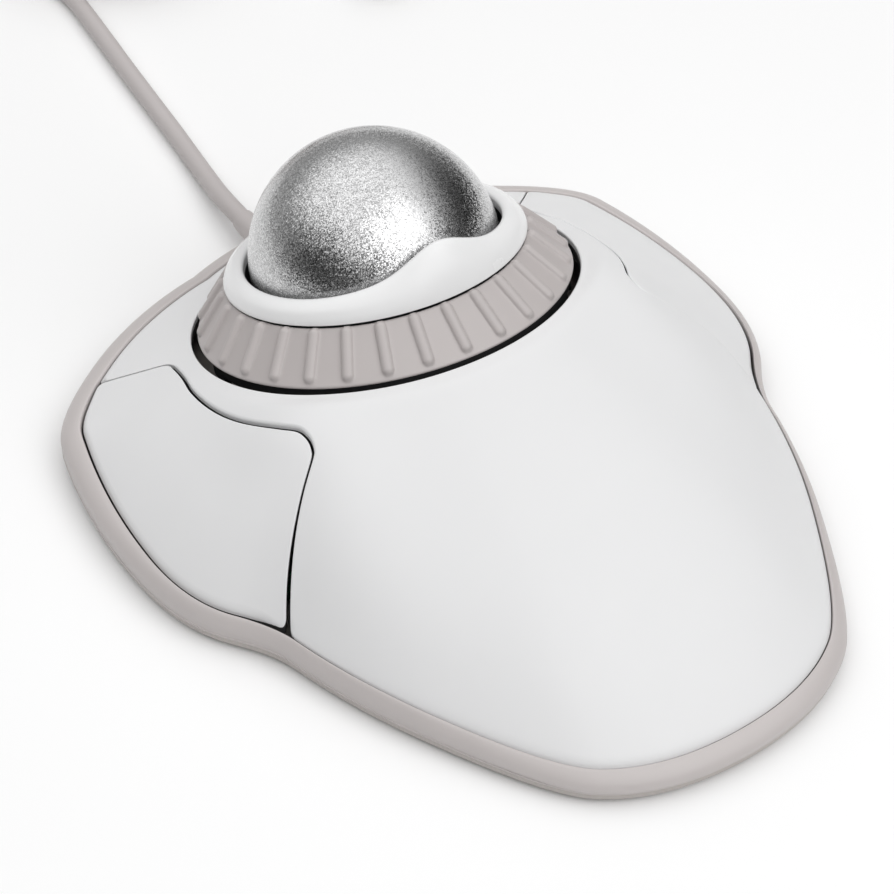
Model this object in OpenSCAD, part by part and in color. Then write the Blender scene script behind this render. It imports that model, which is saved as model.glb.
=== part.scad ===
// Wired trackball pointer with a scroll ring.
// Millimetres, +Z up, +Y towards the cable, origin on the resting surface
// under the middle of the case.

/* [Case] */
// Length of the case, front to back
case_len = 132; // [122:1:142]
// Width of the case across the button wings
case_w = 112; // [104:1:120]
// Wall thickness of the upper case
wall = 2; // [1.6:0.1:2.4]
// Height of the seam between the upper case and the rim, at mid length
seam_h = 6.7; // [6.3:0.1:7.2]
// Rise of the seam per millimetre towards the cable
seam_rise = 0.024; // [0.015:0.001:0.028]
// Height of the raised lip in front of the ring opening
lip_h = 1.3; // [0:0.1:2]

/* [Ball and ring] */
// Diameter of the ball
ball_d = 40; // [39:0.1:40.2]
// Distance of the ball's centre behind the middle of the case
ball_y = 31; // [30:0.5:32]
// Height of the ball's centre
ball_z = 27; // [26.5:0.1:28]
// Backward tilt of the ring's axis
ring_tilt = 20; // [18:0.5:21]
// Outer radius of the ring at its upper edge
ring_top_r = 24.2; // [24:0.1:24.6]
// Outer radius of the ring at its lower edge
ring_low_r = 30.2; // [29.8:0.1:30.4]
// Depth of the ring's lower edge below the ball's centre
ring_low_w = 7.1; // [6.8:0.1:7.3]
// Number of grip ribs on the ring
rib_count = 30; // [24:2:36]
// Width of a grip rib
rib_w = 1.5; // [1:0.1:2]
// Radius of the opening in the upper case
open_r = 31.1; // [31:0.1:31.6]
// Height of the thumb crest on the collar
crest_h = 3; // [0:0.1:3.5]

/* [Buttons] */
// How far a button sits below the case beside it
button_step = 0.6; // [0.4:0.1:1]
// Gap round a button
button_gap = 0.45; // [0.35:0.05:0.6]
// Radius of the button hinge pins
pin_r = 1; // [0.8:0.1:1.1]

/* [Cable] */
// Diameter of the cable
cable_d = 3.4; // [3:0.1:3.6]
// Radius of the middle of the stored coil
coil_r = 19; // [18:0.5:20]

/* [Hidden] */
$fn = 48;
white = [0.93, 0.93, 0.93];
taupe = [0.78, 0.75, 0.73];
sx = case_w / 112;
sy = case_len / 132;
cover_z = 0.6;          // underside of the bottom cover
cover_edge = 2.15;      // top of the cover's edge, where the rim starts
floor_z = 2.4;          // inner floor

// Edge of the upper case on the seam, right half, front to rear; the other half is mirrored.
// Each row is a stretch: where it starts, the point that pulls it round, and how many steps it takes.
seam_plan = [
  [[0, -63], [13, -63], 9],           // nose
  [[21, -57.5], [26.5, -53.7], 9],    // front corner
  [[35.5, -36.5], [41.1, -25.8], 9],  // flank
  [[44, -14.5], [45.1, -10.2], 5],    // waist
  [[49, -5], [53.7, 1.3], 7],         // shoulder of the wing
  [[53.7, 12], [53.7, 26], 10],       // side of the wing
  [[49.5, 40], [48.2, 44.3], 7],      // rear corner
  [[38, 51], [27.8, 57.7], 9],        // rear edge
  [[15, 59.7], [7, 62.5], 5],         // swelling round the cable
  [[0, 62.5]]];
// Width of the rim: narrow at the waist, wider towards the nose and the rear
rim_waist = 1.3;
rim_nose = 3;
rim_rear = 3.5;
function rim_w(y) = y < -17 ? rim_waist + (rim_nose - rim_waist) * pow((y + 17) / 46, 2)
  : rim_waist + (rim_rear - rim_waist) * smooth((y + 17) / 66);
// Line between a button and the case, x > 0 side: the rear edge and its corner, a run that leaves the ring's opening
// slowly, the inner corner, and the front edge out past the rim.
cut_rear = [[[53, 61.5], [41, 46.5], 5], [[34.6, 40.5], [33.4, 39.3], 3], [[33.4, 38], [33.5, 35], 3], [cut_run(92)]];
cut_front = [[cut_run(53), [29.2, 2.3], 4], [[31, 0.3], [42.4, -7.9], 6], [[46, -16.5]]];
function cut_run(phi) = let (r = 34.6 + 0.075 * (96 - phi)) [r * sin(phi), ball_y - 7.4 * sin(ring_tilt) - r * cos(phi)];
button_cut = concat(bends(cut_rear), [for (phi = [88.1 : -3.9 : 56]) cut_run(phi)], bends(cut_front),
  [[60, -18], [68, 20], [64, 62.2]]);

function wrap(i, n) = (i % n + n) % n;
function scaled(h) = [for (p = h) [p[0] * sx, p[1] * sy]];
function both(h) = concat(h, [for (i = [len(h) - 2 : -1 : 1]) [-h[i][0], h[i][1]]]);
// points along the stretches of a plan, each a quadratic curve from its start to the next start
function bends(plan) = concat([for (k = [0 : len(plan) - 2]) let (a = plan[k][0], c = plan[k][1], b = plan[k + 1][0])
  for (i = [0 : plan[k][2] - 1]) let (t = i / plan[k][2]) a * pow(1 - t, 2) + c * 2 * t * (1 - t) + b * t * t],
  [plan[len(plan) - 1][0]]);
function unit(v) = v / norm(v);
// outline moved inwards by d
function inset(o, d) = [for (i = [0 : len(o) - 1]) let (n = len(o), t = unit(o[wrap(i + 1, n)] - o[wrap(i - 1, n)]))
  o[i] + d * [-t[1], t[0]]];
function lerp(a, b, f) = a + (b - a) * f;
function smooth(x) = let (t = min(1, max(0, x))) t * t * (3 - 2 * t);

seam = both(scaled(bends(seam_plan)));
rim = [for (i = [0 : len(seam) - 1]) let (n = len(seam), t = unit(seam[wrap(i + 1, n)] - seam[wrap(i - 1, n)]))
  seam[i] - rim_w(seam[i][1] / sy) * [-t[1], t[0]]];
seam_in = inset(seam, 2);
N = len(seam);

function seam_z(y) = seam_h + seam_rise * y + 0.5 * exp(-pow((y + 30) / 15, 2));

// Opening in the upper case: a circle on the tilted plane of the ring
open_y = ball_y - 7.4 * sin(ring_tilt);
open_z = ball_z - 7.4 * cos(ring_tilt);
function open_at(phi) = let (r = 1 / sqrt(pow(sin(phi) / open_r, 2) + pow(cos(phi) / (open_r * cos(ring_tilt)), 2)))
  [r * sin(phi), open_y - r * cos(phi)];
function open_height(y) = open_z - tan(ring_tilt) * (y - open_y);
// phi is the bearing from the ring's centre, 0 at the front
function bearing(p) = atan2(p[0], open_y - p[1]);
function fall_lin(a) = 0.7 - 0.36 * exp(-pow((a - 46) / 15, 2)) + 0.2 * smooth((a - 90) / 20);
function fall_pow(a) = 3 + exp(-pow(a / 30, 2));
function lip(a) = lip_h * exp(-pow(a / 78, 6));
// fuller shoulder beside the inner corner of a button
function swell(a, s) = 1.25 * exp(-pow((a - 57) / 12.5, 2)) * smooth(s / 0.14) * exp(-pow((s - 0.27) / 0.19, 2));
// height of the upper surface at share s of the way from the opening to the seam
function skin_z(phi, s, len, ze, zt) = let (a = abs(phi), l = fall_lin(a), n = fall_pow(a), h = lip(a),
  top = ze + h * (1 - exp(-pow(s * len / 2.2, 2))))
  top - (ze + h - zt) * (l * s + (1 - l) * pow(s, n)) + swell(a, s);
// how far a button lies below that surface
function step_at(phi, s) = button_step * (1 - 0.6 * s) * smooth((106 - abs(phi)) / 22);

module solid_loop(g) {
  n = len(g); m = len(g[0]);
  polyhedron(points = [for (r = g) each r],
    faces = [for (i = [0 : n - 1], j = [0 : m - 1]) let (a = i * m + j, b = i * m + (j + 1) % m,
      c = ((i + 1) % n) * m + (j + 1) % m, d = ((i + 1) % n) * m + j) each [[a, c, b], [a, d, c]]], convexity = 6);
}
// closed band that follows the skin, lowered by drop, thickness t
module skin_band(ns, t, lowered) {
  solid_loop([for (i = [0 : N - 1]) let (p = seam[i], phi = bearing(p), e = open_at(phi), len = norm(p - e),
      ze = open_height(e[1]), zt = seam_z(p[1]))
    concat([for (j = [0 : ns]) let (s = j / ns, q = lerp(e, p, s)) [q[0], q[1],
        skin_z(phi, s, len, ze, zt) - (lowered ? step_at(phi, s) : 0)]],
      lowered
        ? [for (j = [ns : -2 : 0]) let (s = j / ns, q = lerp(e, p, s)) [q[0], q[1],
            skin_z(phi, s, len, ze, zt) - step_at(phi, s) - t]]
        : [for (j = [ns : -2 : 0]) let (s = j / ns * (1 - wall / len), q = lerp(e, p, s)) [q[0], q[1],
            j == ns ? zt : max(skin_z(phi, s, len, ze, zt) - t, min(zt, ze - t))]])]);
}
module prism(o, z0, z1) { translate([0, 0, z0]) linear_extrude(height = z1 - z0) polygon(o); }
module sided(left) { if (left) mirror([1, 0, 0]) children(); else children(); }
module at_ball() { translate([0, ball_y, ball_z]) rotate([-ring_tilt, 0, 0]) children(); }

// ---- places -------------------------------------------------------------
case_bosses = [[19.5, -44], [-19.5, -44], [29, 49.2], [-29, 49.2]];
socket_legs = [[13, 44], [-13, 44], [15, 17], [-15, 17]];
board_posts = [[20, -30], [-20, -30], [34, 8], [-34, 8]];
foot_pads = [[13, -54.5], [-13, -54.5], [46, 12], [-46, 12], [18, 56.5], [-18, 56.5]];
switch_at = [39, 5];
board_z = 4; board_t = 1.6;
hinge_y = 38; hinge_z = 7;
cable_y = 73; cable_z = 4.2;

// ---- case ---------------------------------------------------------------
module bottom_cover() color(taupe) difference() {
  union() {
    prism(inset(rim, 1.5), cover_z, 1.3);
    prism(inset(rim, 0.35), 1.2, cover_edge);
    prism(inset(seam, 2.1), cover_edge, floor_z);
    for (p = board_posts) translate([p[0], p[1], floor_z]) cylinder(r = 2.4, h = board_z - floor_z);
    // brackets for the two hinge pins
    for (x = [34.4, 41.8, -36, -43.4]) translate([x, hinge_y - 2.5, floor_z]) cube([1.6, 5, hinge_z + 1.8 - floor_z]);
    // cradle for the cable's strain relief
    translate([-5, 57, floor_z]) cube([2, 3.4, 2.2]);
    translate([3, 57, floor_z]) cube([2, 3.4, 2.2]);
  }
  for (p = board_posts) translate([p[0], p[1], 1.2]) cylinder(r = 0.95, h = 5);
  for (p = concat(case_bosses, socket_legs)) translate([p[0], p[1], 0]) {
    cylinder(r = 1.5, h = 5);
    cylinder(r = 2.6, h = 1.5);
  }
  for (p = foot_pads) translate([p[0], p[1], 0]) cylinder(r = 4.6, h = 0.9);
  for (x = [30, -48]) translate([x, hinge_y, hinge_z]) rotate([0, 90, 0]) cylinder(r = pin_r, h = 18);
  // groove for the strain relief
  translate([0, 58.1, cable_z]) rotate([-90, 0, 0]) cylinder(r = 2.95, h = 2.4);
  translate([0, 60.4, cable_z]) rotate([-90, 0, 0]) cylinder(r = 2.65, h = 6);
}

// the rim's inner land is lower under a button, so the button can travel
function land(p) = let (a = abs(bearing(p))) 3.6 * smooth((a - 45.5) / 2.5) * smooth((116.5 - a) / 2);
module rim_band() color(taupe) resize([0, 0, 0]) difference() {
  solid_loop([for (i = [0 : N - 1]) let (t = seam[i], o = rim[i], q = seam_in[i], z = seam_z(t[1]), w = land(t))
    [[t[0], t[1], z],
     concat(lerp(t, o, 0.4), z - 0.34), concat(lerp(t, o, 0.75), z - 1.08), concat(lerp(t, o, 0.95), z - 1.9),
     concat(o, z - 2.7), concat(lerp(t, o, 0.96), cover_edge),
     concat(q, cover_edge), concat(q, z - w), concat(lerp(t, q, 0.08), z - w - 0.001), concat(lerp(t, q, 0.06), z - 0.05)]]);
  translate([0, 50, cable_z]) rotate([-90, 0, 0]) cylinder(r = 2.65, h = 30, $fn = 32);
}

module top_shell() color(white) resize([0, 0, 0]) difference() {
  union() {
    skin_band(14, wall + 0.3, false);
    for (p = case_bosses) translate([p[0], p[1], floor_z]) cylinder(r = 3.1, h = (p[1] < 0 ? 9.5 : 6.8), $fn = 24);
  }
  for (left = [false, true]) sided(left) prism(button_cut, -5, 50);
  for (p = case_bosses) translate([p[0], p[1], 0]) cylinder(r = 1.3, h = 7.6, $fn = 24);
}

// ---- ball socket, ring and collar --------------------------------------
neck_r = 22.6;
bearing_r = 1.6;
bearing_at = [for (a = [90, 210, 330]) (ball_d / 2 + bearing_r + 0.02) * [cos(a) * cos(38), sin(a) * cos(38), -sin(38)]];
module ball_socket() color([0.35, 0.35, 0.36]) difference() {
  union() {
    at_ball() rotate_extrude($fn = 96) union() {
      intersection() {
        circle(r = 23.4, $fn = 96);
        translate([0, -30]) square([40, 21]);
      }
      translate([0, -11]) square([25, 2]);
      translate([0, -10]) square([neck_r, 11]);
    }
    for (p = socket_legs) translate([p[0], p[1], floor_z]) cylinder(r = 3, h = (p[1] > ball_y ? 8.9 : 15));
    // shelf for the ball sensor
    translate([0, ball_y, ball_z]) rotate([30, 0, 0]) translate([-6, -26, -5]) cube([12, 5, 10]);
    // shelf for the ring sensor
    at_ball() rotate([0, 0, 235]) translate([17.5, -4, -15]) cube([7.5, 8, 5]);
  }
  translate([0, ball_y, ball_z]) sphere(r = ball_d / 2 + 0.8, $fn = 96);
  for (p = socket_legs) translate([p[0], p[1], 0]) cylinder(r = 1.25, h = 9);
  at_ball() for (p = bearing_at) translate(p) sphere(r = bearing_r);
  // window of the ball sensor and the drain at the bottom
  translate([0, ball_y, ball_z]) rotate([30, 0, 0]) rotate([90, 0, 0]) cylinder(r = 3, h = 40);
  translate([0, ball_y + 2, 0]) cylinder(r = 2, h = 12);
}
module support_bearings() color([0.9, 0.88, 0.84]) at_ball() for (p = bearing_at) translate(p) sphere(r = bearing_r - 0.01);
module trackball() color([0.6, 0.6, 0.62]) translate([0, ball_y, ball_z]) sphere(r = ball_d / 2, $fn = 96);

// thumb crest: the collar rises at its front
function crest(a) = let (x = abs(a)) crest_h * exp(-pow(x / 18, 2)) + 0.8 * crest_h * exp(-pow(x / 42, 2));
module collar() color(white) at_ball() solid_loop([for (i = [0 : 89]) let (a = -i * 4, off = a < -180 ? a + 360 : a,
    h = crest(off), d = [sin(a), -cos(a)])
  [for (q = [[24.3, 0.2], [24.15, 1 + 0.2 * h], [23.6, 1.9 + 0.45 * h], [22.7, 2.5 + 0.75 * h], [21.8, 2.75 + 0.95 * h],
      [21.1, 2.65 + h], [20.75, 2.3 + h], [20.7, 1.7], [20.7, 1.02], [22.65, 1.02], [22.65, 0.2]])
    [d[0] * q[0], d[1] * q[0], q[1]]]]);

cone_k = (ring_low_r - ring_top_r) / (ring_low_w - 0.1);
module scroll_ring() color([0.55, 0.53, 0.52]) at_ball() difference() {
  rotate_extrude($fn = 120) polygon([[neck_r + 0.06, -0.7], [ring_top_r - 0.9, -0.7], [ring_low_r - 1.2, -ring_low_w - 0.2],
    [ring_low_r - 1, -ring_low_w - 0.2], [ring_low_r - 1, -11.5], [ring_low_r - 2, -11.5], [ring_low_r - 2, -8.4],
    [24.6, -4.4], [24.6, -8.9], [neck_r + 0.06, -8.9]]);
  // slots of the encoder skirt
  for (i = [0 : 17]) rotate([0, 0, i * 20]) translate([ring_low_r - 4, -2.2, -12]) cube([6, 4.4, 2.1]);
}
module ring_grip() color(taupe) at_ball() {
  rotate_extrude($fn = 120) polygon([[ring_top_r - 0.85, -0.1], [ring_top_r - 0.2, -0.1], [ring_top_r, -0.3],
    [ring_low_r, -ring_low_w + 0.1], [ring_low_r, -ring_low_w - 0.4], [ring_low_r - 0.9, -ring_low_w - 0.4],
    [ring_low_r - 0.97, -ring_low_w - 0.12], [ring_top_r - 0.85, -0.72]]);
  for (i = [0 : rib_count - 1]) rotate([0, 0, (i + 0.5) * 360 / rib_count - 90]) hull() {
    translate([ring_top_r + 0.15, 0, -1]) sphere(r = rib_w / 2, $fn = 8);
    translate([ring_top_r + 0.15 + 4.9 * cone_k, 0, -5.9]) sphere(r = rib_w / 2, $fn = 8);
  }
}

// ---- electronics --------------------------------------------------------
module main_board() color([0.1, 0.35, 0.2]) difference() {
  prism([[-28, -36], [28, -36], [28, -5], [46, -5], [46, 12.5], [25, 12.5], [20, 5], [-20, 5], [-25, 12.5], [-46, 12.5], [-46, -5],
    [-28, -5]], board_z, board_z + board_t);
  for (p = board_posts) translate([p[0], p[1], 0]) cylinder(r = 1.2, h = 10);
}
bt = board_z + board_t;
module controller_chips() color([0.12, 0.12, 0.13]) {
  translate([-9, -22, bt]) cube([9, 9, 1.4]);
  translate([6, -24, bt]) cube([5, 6, 1.6]);
}
module board_parts() color([0.5, 0.5, 0.5]) {
  for (x = [-20, -14, 14]) translate([x, -10, bt]) cylinder(r = 2.5, h = 5.4);
  translate([-4, -30, bt]) cube([9, 3.5, 3.2]);
  for (i = [0 : 5]) translate([-16 + i * 5, -3, bt]) cube([2, 1.2, 0.7]);
}
module cable_header() color([0.93, 0.9, 0.82]) translate([16, -8, bt]) difference() {
  cube([8, 9, 6.5]);
  translate([1, 2, 1.2]) cube([6, 8, 4.3]);
}
module header_plug() color([0.85, 0.85, 0.8]) translate([17.1, -5.9, bt + 1.3]) cube([5.8, 9, 4.1]);
function sweep_ring(c, d, r, k) = let (t = unit(d), s = unit(cross(t, [0, 0, 1])), u = cross(s, t))
  [for (j = [0 : k - 1]) c + r * (cos(j * 360 / k) * s + sin(j * 360 / k) * u)];
// tube through the points of a route, eight sides
module tube(p, d) {
  n = len(p); k = 8; r = d / 2 * 1.03;
  g = [for (i = [0 : n - 1]) sweep_ring(p[i], p[min(n - 1, i + 1)] - p[max(0, i - 1)], r, k)];
  polyhedron(points = [for (q = g) each q], faces = concat([[for (j = [k - 1 : -1 : 0]) j]], [[for (j = [0 : k - 1]) (n - 1) * k + j]],
    [for (i = [0 : n - 2], j = [0 : k - 1]) let (a = i * k + j, b = i * k + (j + 1) % k, c = b + k, e = a + k)
      each [[a, c, e], [a, b, c]]]), convexity = 6);
}
inner_route = [[0, 58.2, 4.2], [1, 55.6, 4.2], [4, 53.4, 4.2], [9, 52.2, 4.2], [15, 50.6, 4.2], [20, 47.6, 4.2], [23, 43, 4.2],
  [24.6, 37, 4.2], [25, 31, 4.2], [24.4, 25, 4.2], [23, 20, 4.4], [21.4, 15, 5.6], [20.4, 11, 7.4], [20.1, 7, 8.6], [20, 3.1, 8.9]];
module inner_cable() color([0.7, 0.67, 0.65]) tube(inner_route, 3.1);

// ball sensor: looks along a line 30 degrees below level, from the front
module at_sensor() { translate([0, ball_y, ball_z]) rotate([30, 0, 0]) children(); }
module ball_sensor_board() color([0.1, 0.35, 0.2]) at_sensor() translate([-7, -30.6, -6]) cube([15, 1.4, 12]);
module ball_sensor_chip() color([0.12, 0.12, 0.13]) at_sensor() translate([-4, -29.2, -4]) cube([8, 2, 8]);
module ball_sensor_lens() color([0.8, 0.85, 0.9]) at_sensor() {
  translate([-5, -27.2, -4.6]) cube([10, 1.2, 9.2]);
  rotate([90, 0, 0]) translate([0, 0, 22.4]) cylinder(r = 2.6, h = 3.7);
}
module sensor_light() color([0.85, 0.25, 0.2]) at_sensor() translate([6.4, -29.2, 0]) rotate([-90, 0, 0]) cylinder(r = 1.2, h = 2.2);
// ring sensor: a fork on each side of the slotted skirt
module ring_sensor() color([0.12, 0.12, 0.13]) at_ball() rotate([0, 0, 235]) difference() {
  translate([25.2, -2.6, -15]) cube([6.4, 5.2, 4.7]);
  translate([ring_low_r - 2.6, -3, -12.3]) cube([2.1, 6, 4]);
}
module ring_sensor_board() color([0.1, 0.35, 0.2]) at_ball() rotate([0, 0, 235]) translate([20, -5, -16.2]) cube([13, 10, 1.2]);

sw_top = bt + 6.5;
module switch_body(left) color([0.15, 0.15, 0.16]) sided(left) difference() {
  translate([switch_at[0] - 2.9, switch_at[1] - 6.4, bt]) cube([5.8, 12.8, 6.5]);
  translate([switch_at[0] - 1.25, switch_at[1] - 1.6, sw_top - 2]) cube([2.5, 3.2, 3]);
}
module left_switch() switch_body(true);
module right_switch() switch_body(false);
module plunger(left) color([0.9, 0.25, 0.2]) sided(left)
  translate([switch_at[0] - 0.95, switch_at[1] - 1.3, sw_top - 1]) cube([1.9, 2.6, 1.8]);
module left_plunger() plunger(true);
module right_plunger() plunger(false);

// ---- buttons ------------------------------------------------------------
function poly_inset(o, d) = [for (i = [0 : len(o) - 1]) let (n = len(o), a = unit(o[i] - o[wrap(i - 1, n)]),
  b = unit(o[wrap(i + 1, n)] - o[i]), m = unit(a + b)) o[i] + d / max(0.5, m * a) * [-m[1], m[0]]];
module button(left) color(white) resize([0, 0, 0]) sided(left) intersection() {
  skin_band(14, 1.8, true);
  prism(poly_inset(button_cut, button_gap), -5, 50);
  prism(inset(seam, 0.5), -5, 50);
}
module left_button() button(true);
module right_button() button(false);
// lever under a button: hinge barrel, arm, pad over the switch, two posts to the button
arm_tilt = atan((sw_top + 2.6 - hinge_z) / (hinge_y - switch_at[1]));
module lever(left) color([0.8, 0.8, 0.8]) sided(left) difference() {
  union() {
    translate([36.3, hinge_y, hinge_z]) rotate([0, 90, 0]) cylinder(r = 2.1, h = 5.2);
    translate([37.3, hinge_y, hinge_z]) rotate([-arm_tilt, 0, 0]) translate([0, -34.5, -0.3]) cube([3.4, 34.5, 1.5]);
    translate([37, switch_at[1] - 2, sw_top + 0.9]) cube([4, 4, 2.2]);
    translate([37.3, 8, 13.4]) cube([3.4, 3, 3.4]);
    translate([37.3, 23, 11]) cube([3.4, 3, 4.4]);
  }
  translate([30, hinge_y, hinge_z]) rotate([0, 90, 0]) cylinder(r = pin_r + 0.05, h = 20);
}
module left_lever() lever(true);
module right_lever() lever(false);
module button_pins() color([0.75, 0.75, 0.78]) for (x = [34.1, -43.6]) translate([x, hinge_y, hinge_z]) rotate([0, 90, 0])
  cylinder(r = pin_r, h = 9.5);

// ---- fasteners and feet -------------------------------------------------
module screw(head_r, head_h, r, len) { cylinder(r = head_r, h = head_h); cylinder(r = r, h = len); }
module case_screws() color([0.6, 0.6, 0.62]) for (p = case_bosses) translate([p[0], p[1], 0.7]) screw(2.3, 0.8, 1.2, 6.4);
module socket_screws() color([0.6, 0.6, 0.62]) for (p = socket_legs) translate([p[0], p[1], 0.7]) screw(2.3, 0.8, 1.2, 7.4);
module board_screws() color([0.6, 0.6, 0.62]) for (p = board_posts) translate([p[0], p[1], bt + 0.9]) mirror([0, 0, 1]) screw(1.9, 0.9, 0.9, 4.4);
module rubber_feet() color([0.25, 0.25, 0.26]) for (p = foot_pads) translate([p[0], p[1], 0]) cylinder(r = 4.5, h = 0.9);

// ---- cable --------------------------------------------------------------
module strain_relief() color(taupe) translate([0, 0, cable_z]) rotate([-90, 0, 0]) rotate_extrude() polygon([
  [0, 58.2], [2.88, 58.2], [2.88, 60.4], [2.6, 60.4], [2.6, 65.4], [2.5, 65.6], [2.0, cable_y], [0, cable_y]]);
// route of the cable on the table, from the strain relief to the coil
route = [[0, 73, 4.2], [0.1, 76, 4.1], [0.4, 80, 3.6], [1, 84, 3], [1.7, 88, 2.4], [2.3, 92, 2], [3, 97, 1.8], [3.6, 102, 1.8],
  [4.3, 109, 1.8], [5, 116, 1.8], [5.7, 123, 1.8], [6.5, 130, 1.8], [7.3, 137, 1.8], [8, 144, 1.8], [8.5, 150, 1.8], [8.6, 155, 1.8]];
coil_at = [28, 168];
// the last half turn comes down the outside of the coil and runs on to the plug
tail_route = [[6.7, 180.3, 11], [11.5, 187.6, 9.4], [19.1, 192.4, 7.4], [28, 194, 5.2], [36.9, 192.5, 3.2], [43, 189.4, 2],
  [48, 185.9, 1.8], [52.7, 181.9, 1.8], [56.8, 177.4, 2.4], [59.8, 172.6, 3.4], [61.3, 168.8, 4.1], [61.5, 166, 4.2]];
module cable() color([0.75, 0.72, 0.7]) tube(route, cable_d);
module cable_coil() color([0.75, 0.72, 0.7]) difference() {
  translate([coil_at[0], coil_at[1], 0]) rotate_extrude($fn = 96) polygon([[coil_r - 4.6, 0], [coil_r + 4.6, 0], [coil_r + 5.4, 0.8],
    [coil_r + 5.4, 11.8], [coil_r + 4.2, 13.4], [coil_r - 4.2, 13.4], [coil_r - 5.4, 11.8], [coil_r - 5.4, 0.8]]);
}
module cable_tail() color([0.75, 0.72, 0.7]) tube(tail_route, cable_d);
module coil_tie() color([0.2, 0.2, 0.2]) translate([coil_at[0], coil_at[1], 0]) rotate([90, 0, 0]) translate([0, 0, -4])
  linear_extrude(height = 8) polygon([[coil_r - 5.4, 0], [coil_r - 5.4, 11.8], [coil_r - 4.2, 13.4], [coil_r + 4.2, 13.4],
    [coil_r + 5.4, 11.8], [coil_r + 5.4, 0], [coil_r + 6, 0], [coil_r + 6, 12], [coil_r + 4.5, 14], [coil_r - 4.5, 14],
    [coil_r - 6, 12], [coil_r - 6, 0]]);
plug_x = 61.5; plug_y = 166;
module plug_grip() color(taupe) union() {
  translate([plug_x - 7.5, plug_y - 28, 0.2]) cube([15, 19, 8]);
  hull() {
    translate([plug_x - 7.5, plug_y - 9.2, 0.2]) cube([15, 0.2, 8]);
    translate([plug_x - 2.6, plug_y - 0.2, 1.7]) cube([5.2, 0.2, 5.2]);
  }
}
module plug_shell() color([0.8, 0.8, 0.82]) translate([plug_x - 6, plug_y - 46.7, 1.95]) difference() {
  cube([12, 18.7, 4.5]);
  translate([0.4, -1, 0.4]) cube([11.2, 19, 3.7]);
}
module plug_tongue() color([0.95, 0.95, 0.95]) translate([plug_x - 5.5, plug_y - 46.2, 4.1]) cube([11, 17.9, 1.8]);

bottom_cover();
rim_band();
top_shell();
ball_socket();
collar();
support_bearings();
main_board();
controller_chips();
board_parts();
cable_header();
header_plug();
inner_cable();
ball_sensor_board();
ball_sensor_chip();
ball_sensor_lens();
sensor_light();
ring_sensor();
ring_sensor_board();
left_switch();
right_switch();
button_pins();
case_screws();
socket_screws();
board_screws();
rubber_feet();
strain_relief();
trackball();
scroll_ring();
ring_grip();
left_button();
left_lever();
right_button();
right_lever();
left_plunger();
right_plunger();
cable();
cable_coil();
cable_tail();
coil_tie();
plug_grip();
plug_shell();
plug_tongue();
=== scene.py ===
import bpy
import bmesh
import math
import numpy as np
from mathutils import Vector, Matrix
from mathutils.geometry import delaunay_2d_cdt


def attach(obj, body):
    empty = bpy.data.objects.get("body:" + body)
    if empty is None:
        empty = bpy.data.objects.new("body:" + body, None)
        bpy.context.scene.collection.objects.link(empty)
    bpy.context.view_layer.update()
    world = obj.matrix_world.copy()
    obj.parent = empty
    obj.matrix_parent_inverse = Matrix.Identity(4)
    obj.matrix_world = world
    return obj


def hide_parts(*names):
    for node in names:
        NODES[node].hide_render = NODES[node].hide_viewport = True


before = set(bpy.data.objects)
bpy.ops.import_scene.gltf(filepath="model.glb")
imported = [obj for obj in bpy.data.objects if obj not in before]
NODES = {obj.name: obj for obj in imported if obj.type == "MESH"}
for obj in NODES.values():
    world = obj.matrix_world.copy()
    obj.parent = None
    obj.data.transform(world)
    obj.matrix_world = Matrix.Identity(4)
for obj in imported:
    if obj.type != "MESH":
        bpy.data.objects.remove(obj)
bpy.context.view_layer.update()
MM = 0.001
sin, cos, rad = math.sin, math.cos, math.radians

# ------------------------------------------------------------------ camera
F_PX = 2760.8
AZ, EL = rad(-34.40), rad(45.33)
cam_data = bpy.data.cameras.new("camera")
cam_data.sensor_width = 36.0
cam_data.lens = F_PX / 894.0 * 36.0
cam_data.clip_start, cam_data.clip_end = 0.02, 20.0
cam = bpy.data.objects.new("camera", cam_data)
bpy.context.scene.collection.objects.link(cam)
back = Vector((sin(AZ) * cos(EL), -cos(AZ) * cos(EL), sin(EL)))
right = Vector((cos(AZ), sin(AZ), 0.0))
up = back.cross(right)
cam.matrix_world = Matrix(((right.x, up.x, back.x, -0.17489), (right.y, up.y, back.y, -0.24435),
                           (right.z, up.z, back.z, 0.31361), (0, 0, 0, 1)))
bpy.context.scene.camera = cam

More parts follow.
